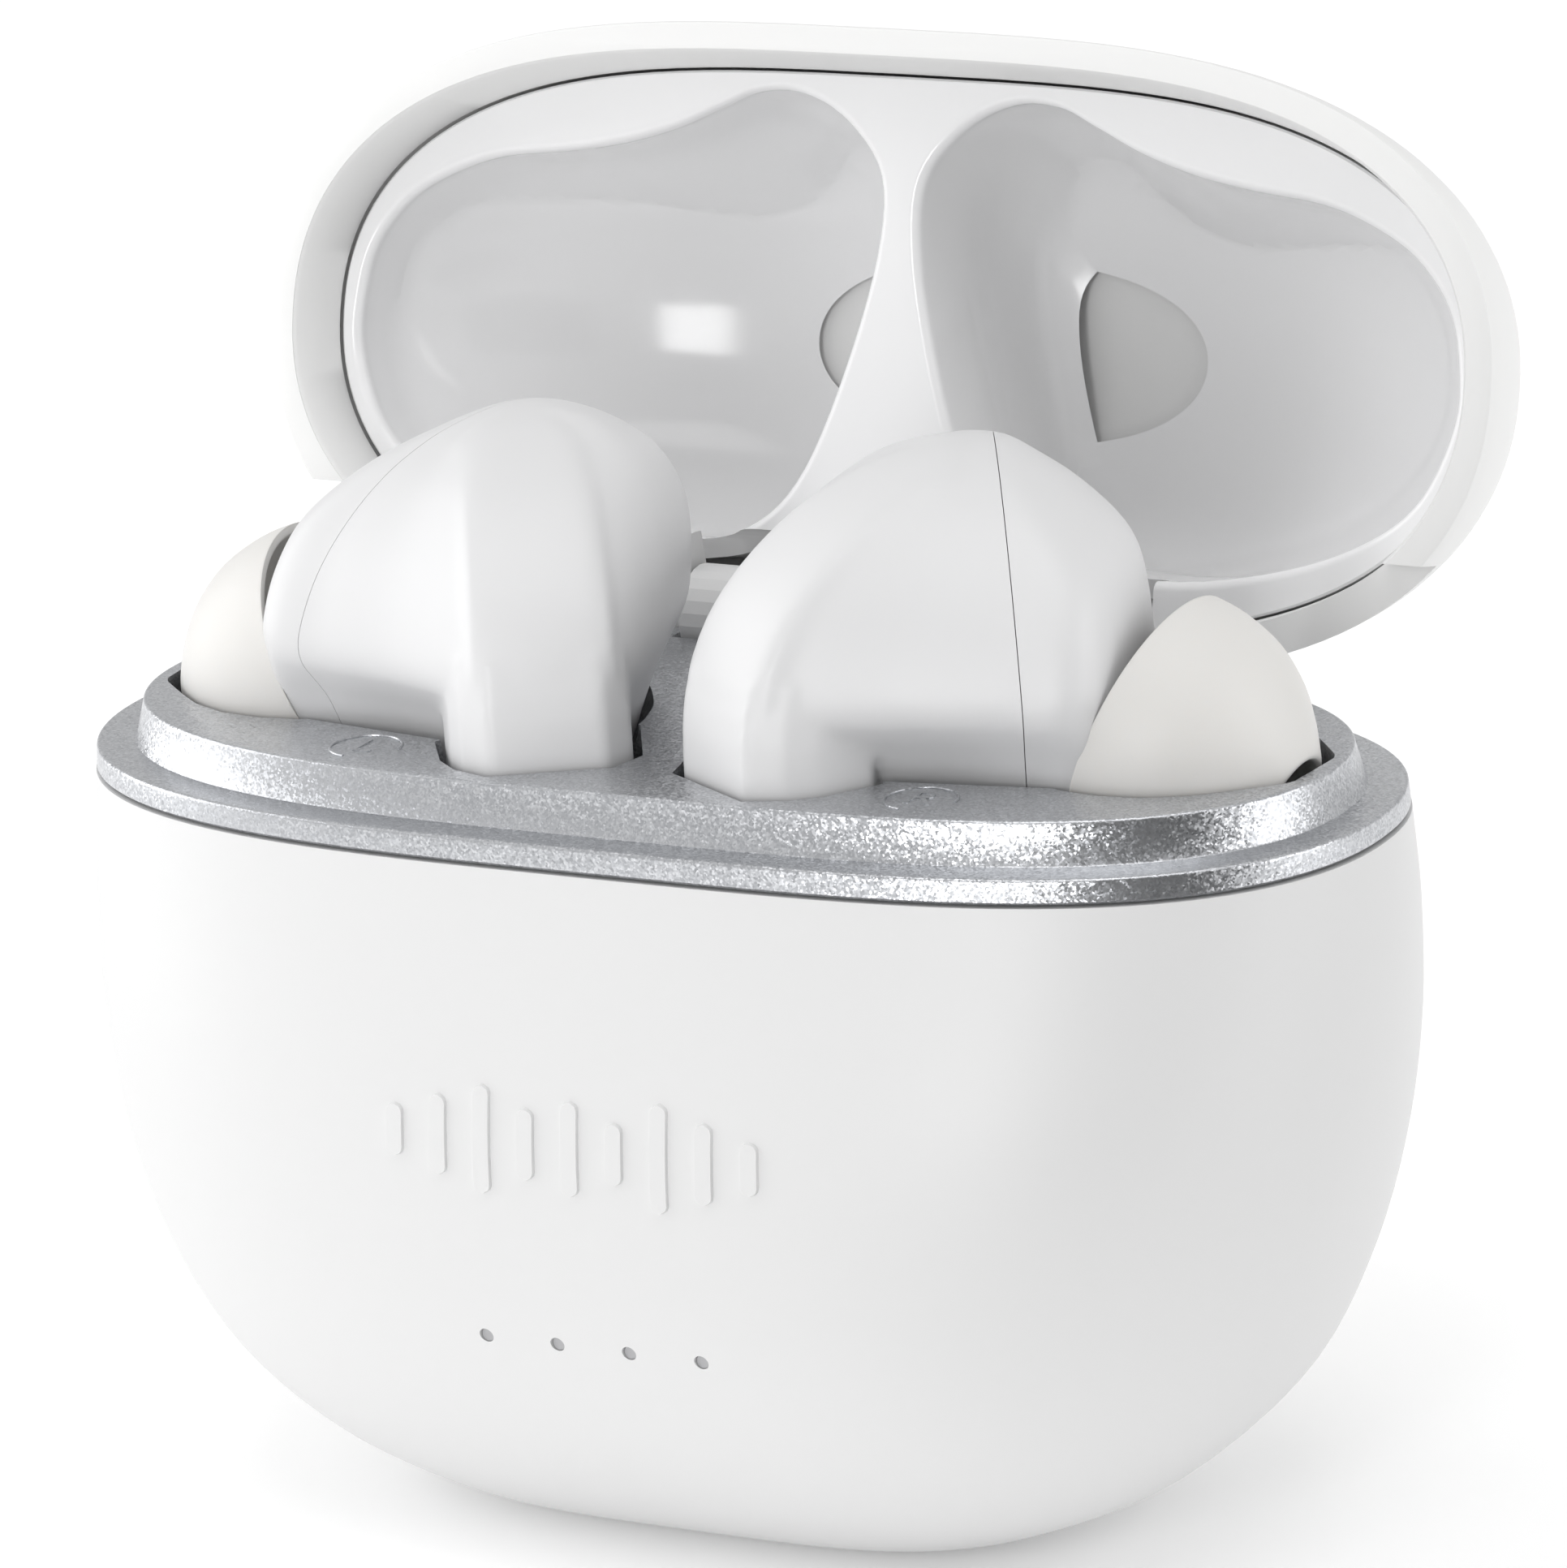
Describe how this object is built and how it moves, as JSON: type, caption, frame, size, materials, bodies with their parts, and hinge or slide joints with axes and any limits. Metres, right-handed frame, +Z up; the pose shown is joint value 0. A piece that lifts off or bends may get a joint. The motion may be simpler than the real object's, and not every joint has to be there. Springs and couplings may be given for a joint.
{
  "type": "wireless earbuds case",
  "caption": "White pebble-shaped wireless earbuds case, lid open on its rear hinge, with a silver deck holding a pair of in-ear earbuds with short stems.",
  "frame": {"origin": "centre of the flat base the case stands on", "axes": "+X to the case's right as seen from the front, +Y from the front towards the hinge, +Z up"},
  "size_m": [0.0602, 0.048, 0.0613],
  "materials": {
    "white_shell": "satin",
    "gloss_liner": "gloss",
    "silver_paint": "satin metallic flake",
    "silicone": "matte silicone",
    "board": "solder mask",
    "steel": "plain",
    "gold_contact": "gold plated",
    "black_plastic": "matte",
    "battery_wrap": "foil wrap",
    "light_guide": "frosted"
  },
  "bodies": {
    "case": {"battery_tape": "black_plastic", "board_screw_left": "steel", "board_screw_right": "steel", "case_battery": "battery_wrap", "charge_chip": "black_plastic", "closing_magnet": "steel", "deck": "silver_paint", "hinge_ear_left": "white_shell", "hinge_ear_right": "white_shell", "hinge_pin": "steel", "hinge_spring": "steel", "lid_sensor": "black_plastic", "light_board": "board", "light_guide": "light_guide", "lower_shell": "white_shell", "main_board": "board", "pin_block_left": "black_plastic", "pin_block_right": "black_plastic", "status_light_1": "light_guide", "status_light_2": "light_guide", "status_light_3": "light_guide", "status_light_4": "light_guide", "usb_c_receptacle": "steel", "usb_tongue": "black_plastic", "well_magnet_left": "steel", "well_magnet_right": "steel"},
    "lid": {"lid_shell": "white_shell", "lid_liner": "gloss_liner", "hinge_knuckle": "white_shell", "lid_magnet": "steel"},
    "bud_left": {"bud_battery_left": "steel", "bud_board_left": "board", "bud_contact_left_inner": "gold_contact", "bud_contact_left_outer": "gold_contact", "bud_driver_left": "black_plastic", "bud_ear_shell_left": "white_shell", "bud_outer_shell_left": "white_shell", "bud_stem_board_left": "board", "ear_tip_left": "silicone", "nozzle_mesh_left": "steel"},
    "pin_left_inner": {"contact_pin_left_inner": "gold_contact"},
    "pin_left_outer": {"contact_pin_left_outer": "gold_contact"},
    "bud_right": {"bud_battery_right": "steel", "bud_board_right": "board", "bud_contact_right_inner": "gold_contact", "bud_contact_right_outer": "gold_contact", "bud_driver_right": "black_plastic", "bud_ear_shell_right": "white_shell", "bud_outer_shell_right": "white_shell", "bud_stem_board_right": "board", "ear_tip_right": "silicone", "nozzle_mesh_right": "steel"},
    "pin_right_inner": {"contact_pin_right_inner": "gold_contact"},
    "pin_right_outer": {"contact_pin_right_outer": "gold_contact"}
  },
  "joints": [
    {"name": "lid_hinge", "type": "hinge", "parent": "case", "child": "lid", "pos_m": [0, 0.0122, 0.03545], "axis": [-1, 0, 0], "range_deg": [-105, 0]},
    {"name": "bud_lift_left", "type": "slide", "parent": "case", "child": "bud_left", "axis": [0, 0, 1], "range_m": [0, 0.03]},
    {"name": "pin_travel_left_inner", "type": "slide", "parent": "case", "child": "pin_left_inner", "axis": [0, 0, 1], "range_m": [-0.0006, 0], "stiffness_N_per_m": 40, "springref_m": 0.002},
    {"name": "pin_travel_left_outer", "type": "slide", "parent": "case", "child": "pin_left_outer", "axis": [0, 0, 1], "range_m": [-0.0006, 0], "stiffness_N_per_m": 40, "springref_m": 0.002},
    {"name": "bud_lift_right", "type": "slide", "parent": "case", "child": "bud_right", "axis": [0, 0, 1], "range_m": [0, 0.03]},
    {"name": "pin_travel_right_inner", "type": "slide", "parent": "case", "child": "pin_right_inner", "axis": [0, 0, 1], "range_m": [-0.0006, 0], "stiffness_N_per_m": 40, "springref_m": 0.002},
    {"name": "pin_travel_right_outer", "type": "slide", "parent": "case", "child": "pin_right_outer", "axis": [0, 0, 1], "range_m": [-0.0006, 0], "stiffness_N_per_m": 40, "springref_m": 0.002}
  ]
}
